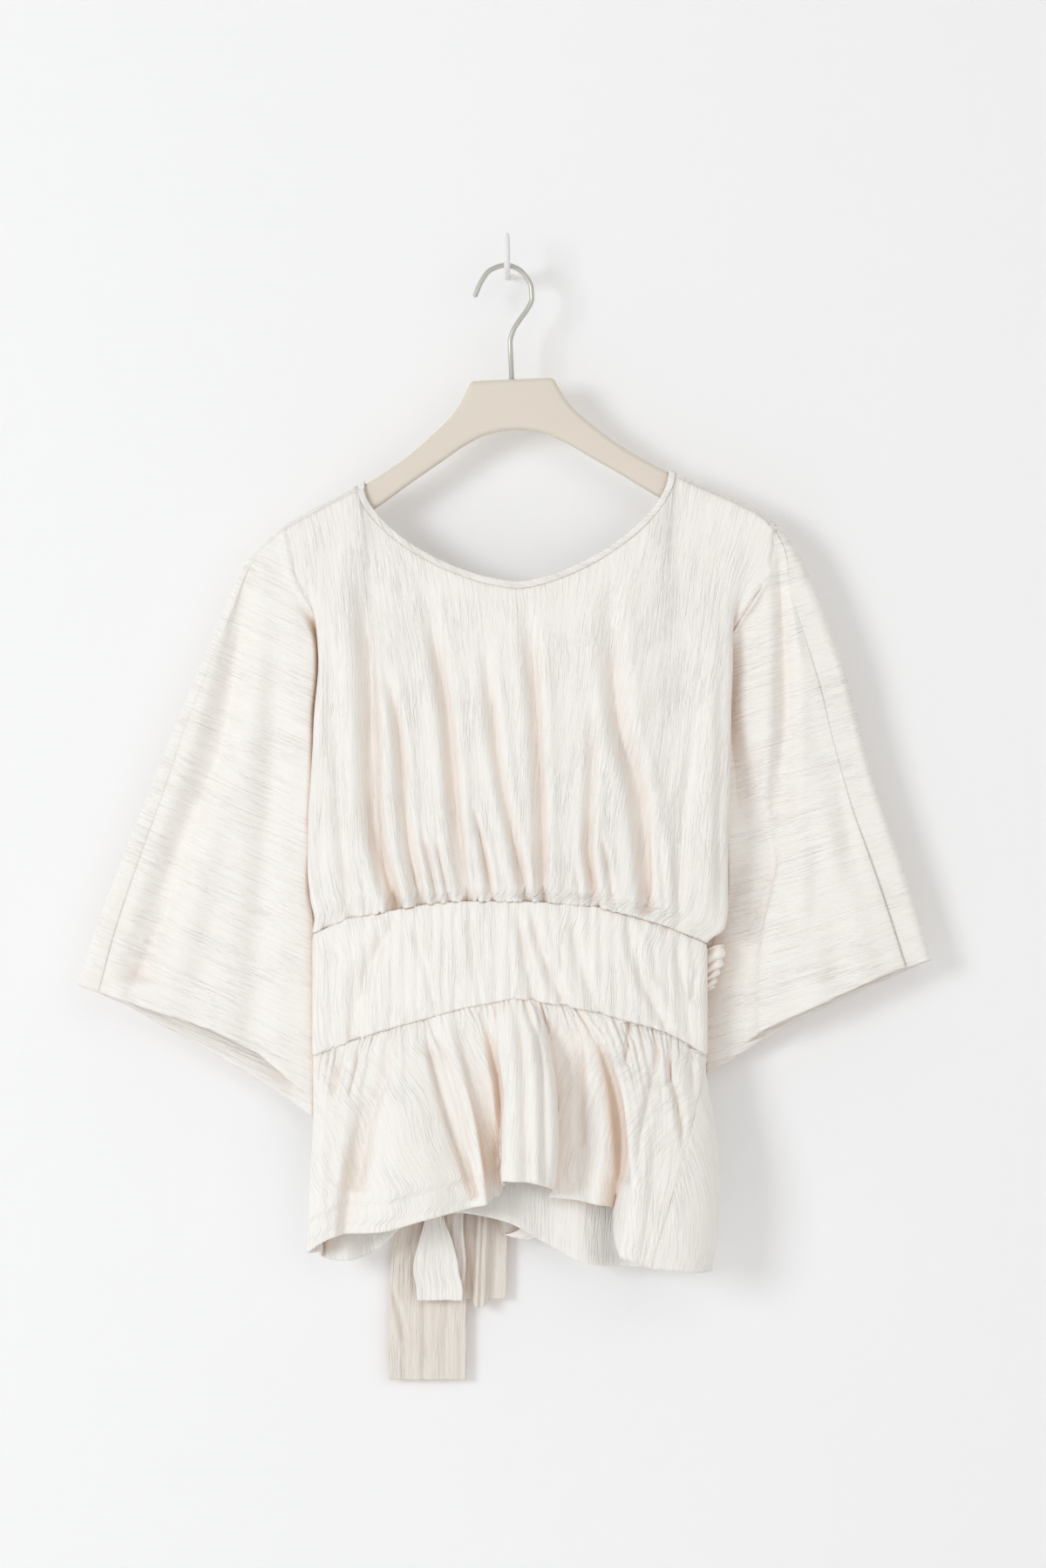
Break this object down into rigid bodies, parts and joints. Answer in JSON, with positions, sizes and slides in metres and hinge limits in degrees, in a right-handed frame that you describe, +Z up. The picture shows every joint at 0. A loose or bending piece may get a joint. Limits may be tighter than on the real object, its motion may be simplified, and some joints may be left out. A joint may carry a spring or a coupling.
{
  "type": "tie-back top on a hanger",
  "caption": "Crinkled cotton top with wide elbow sleeves, scoop neck, gathered waistband, ruffled peplum and ties in a bow behind, on a wooden hanger on a wall hook.",
  "frame": {"origin": "centre of the wall hook's flat end, where it meets the wall", "axes": "+Z up, +Y into the wall, +X to the right as the front of the top is seen; the garment hangs in front of the wall, towards -Y"},
  "size_m": [0.6775, 0.0835, 0.913],
  "materials": {
    "crinkled_cotton": "matt off-white crinkled crepe",
    "pale_wood": "pale, smooth, thinly lacquered",
    "steel_wire": "dull satin",
    "white_paint": "satin white"
  },
  "bodies": {
    "root": {"front": "crinkled_cotton", "back": "crinkled_cotton", "neck_binding": "crinkled_cotton", "band_front": "crinkled_cotton", "band_back": "crinkled_cotton", "peplum_front": "crinkled_cotton", "peplum_back": "crinkled_cotton", "tie_left": "crinkled_cotton", "tie_right": "crinkled_cotton", "bow_knot": "crinkled_cotton", "bow_loop_left": "crinkled_cotton", "bow_loop_right": "crinkled_cotton", "bow_tail_left": "crinkled_cotton", "bow_tail_right": "crinkled_cotton", "hanger_wood": "pale_wood", "hanger_wire": "steel_wire", "wall_hook": "white_paint"}
  },
  "joints": []
}
